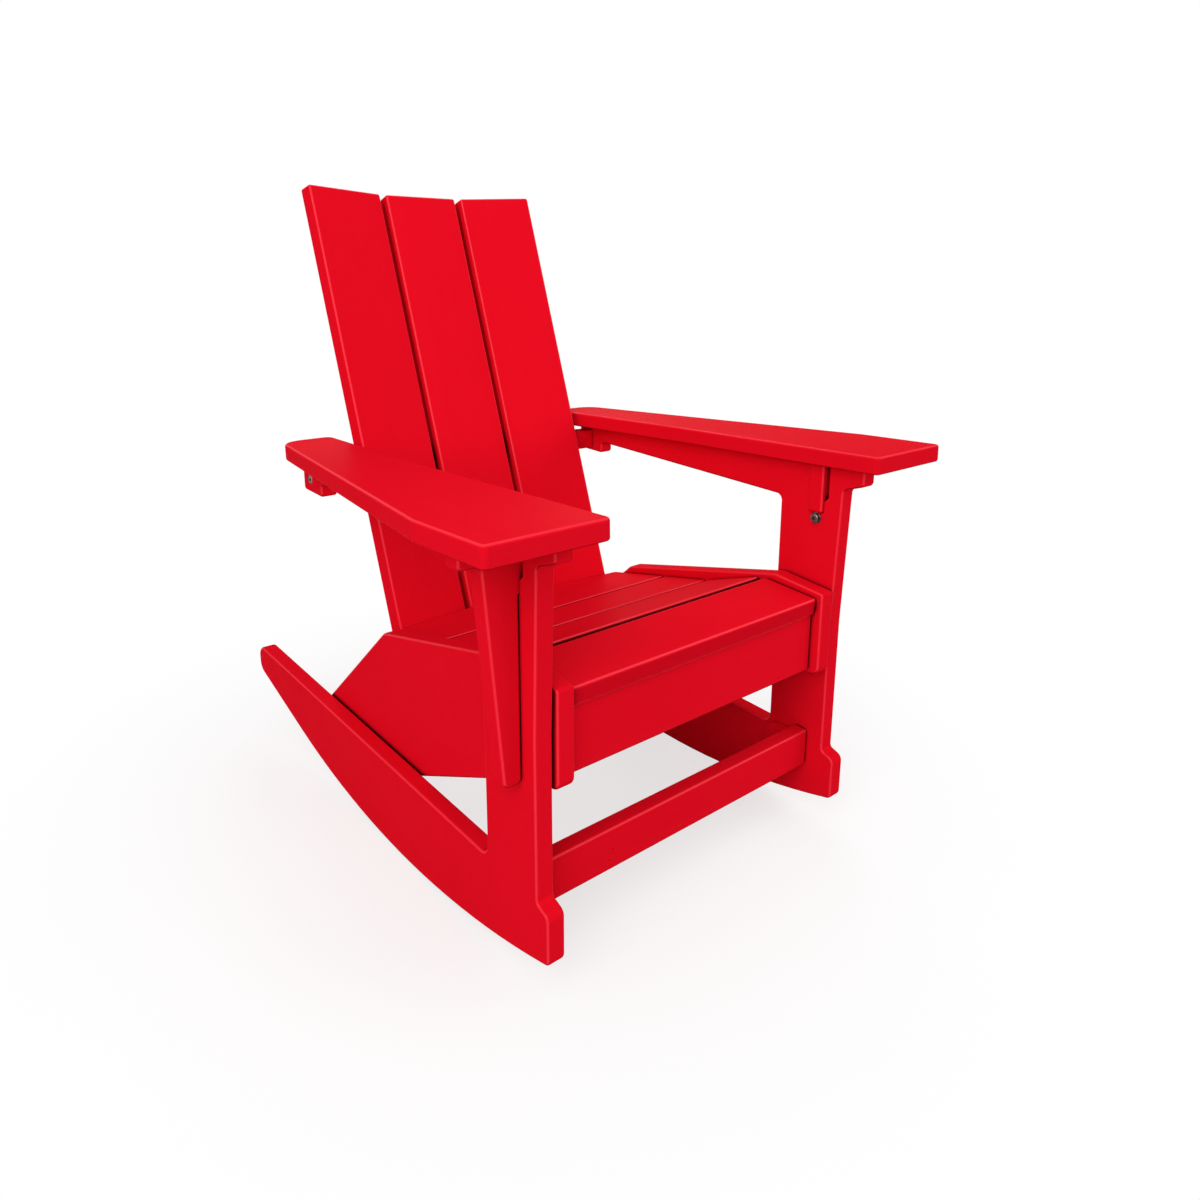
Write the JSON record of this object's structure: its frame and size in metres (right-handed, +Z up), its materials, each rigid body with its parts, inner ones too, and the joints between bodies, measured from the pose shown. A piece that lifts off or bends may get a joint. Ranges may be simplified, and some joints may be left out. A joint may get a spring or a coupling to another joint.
{
  "type": "outdoor rocking chair",
  "caption": "Outdoor rocking chair of flat plastic boards: slatted seat, leaning board back and wide flat arms, on curved runners cut in one with the legs.",
  "frame": {"origin": "on the floor, below the middle of the chair's width and depth, with the chair at rest on its runners", "axes": "+X towards the sitter's left, +Y towards the back, +Z up"},
  "size_m": [0.7868, 0.9186, 0.9453],
  "materials": {
    "frame_lumber": "satin, coloured right through",
    "arm_lumber": "satin, coloured right through",
    "rail_lumber": "satin, coloured right through",
    "seat_lumber": "satin, coloured right through",
    "back_lumber": "satin, coloured right through",
    "cross_lumber": "satin, coloured right through",
    "small_lumber": "satin, coloured right through",
    "stainless_steel": "satin",
    "spacer_nylon": "matt"
  },
  "bodies": {
    "root": {"arm_screws": "stainless_steel", "back_screws": "stainless_steel", "back_slat_left": "back_lumber", "back_slat_middle": "back_lumber", "back_slat_right": "back_lumber", "brace_bolts": "stainless_steel", "cleat_screws": "stainless_steel", "front_apron": "cross_lumber", "front_stretcher": "cross_lumber", "hook_bolts": "stainless_steel", "left_apron_block": "small_lumber", "left_arm_brace": "small_lumber", "left_armrest": "arm_lumber", "left_back_block": "small_lumber", "left_seat_cleat": "small_lumber", "left_seat_rail": "rail_lumber", "left_side_frame": "frame_lumber", "left_stretcher_block": "small_lumber", "lower_back_rail": "cross_lumber", "rail_bolts": "stainless_steel", "rail_spacers": "spacer_nylon", "right_apron_block": "small_lumber", "right_arm_brace": "small_lumber", "right_armrest": "arm_lumber", "right_back_block": "small_lumber", "right_seat_cleat": "small_lumber", "right_seat_rail": "rail_lumber", "right_side_frame": "frame_lumber", "right_stretcher_block": "small_lumber", "seat_screws": "stainless_steel", "seat_slat_front": "seat_lumber", "seat_slat_rear": "seat_lumber", "seat_slat_second": "seat_lumber", "seat_slat_third": "seat_lumber", "upper_back_rail": "cross_lumber", "washers": "stainless_steel"}
  },
  "joints": []
}
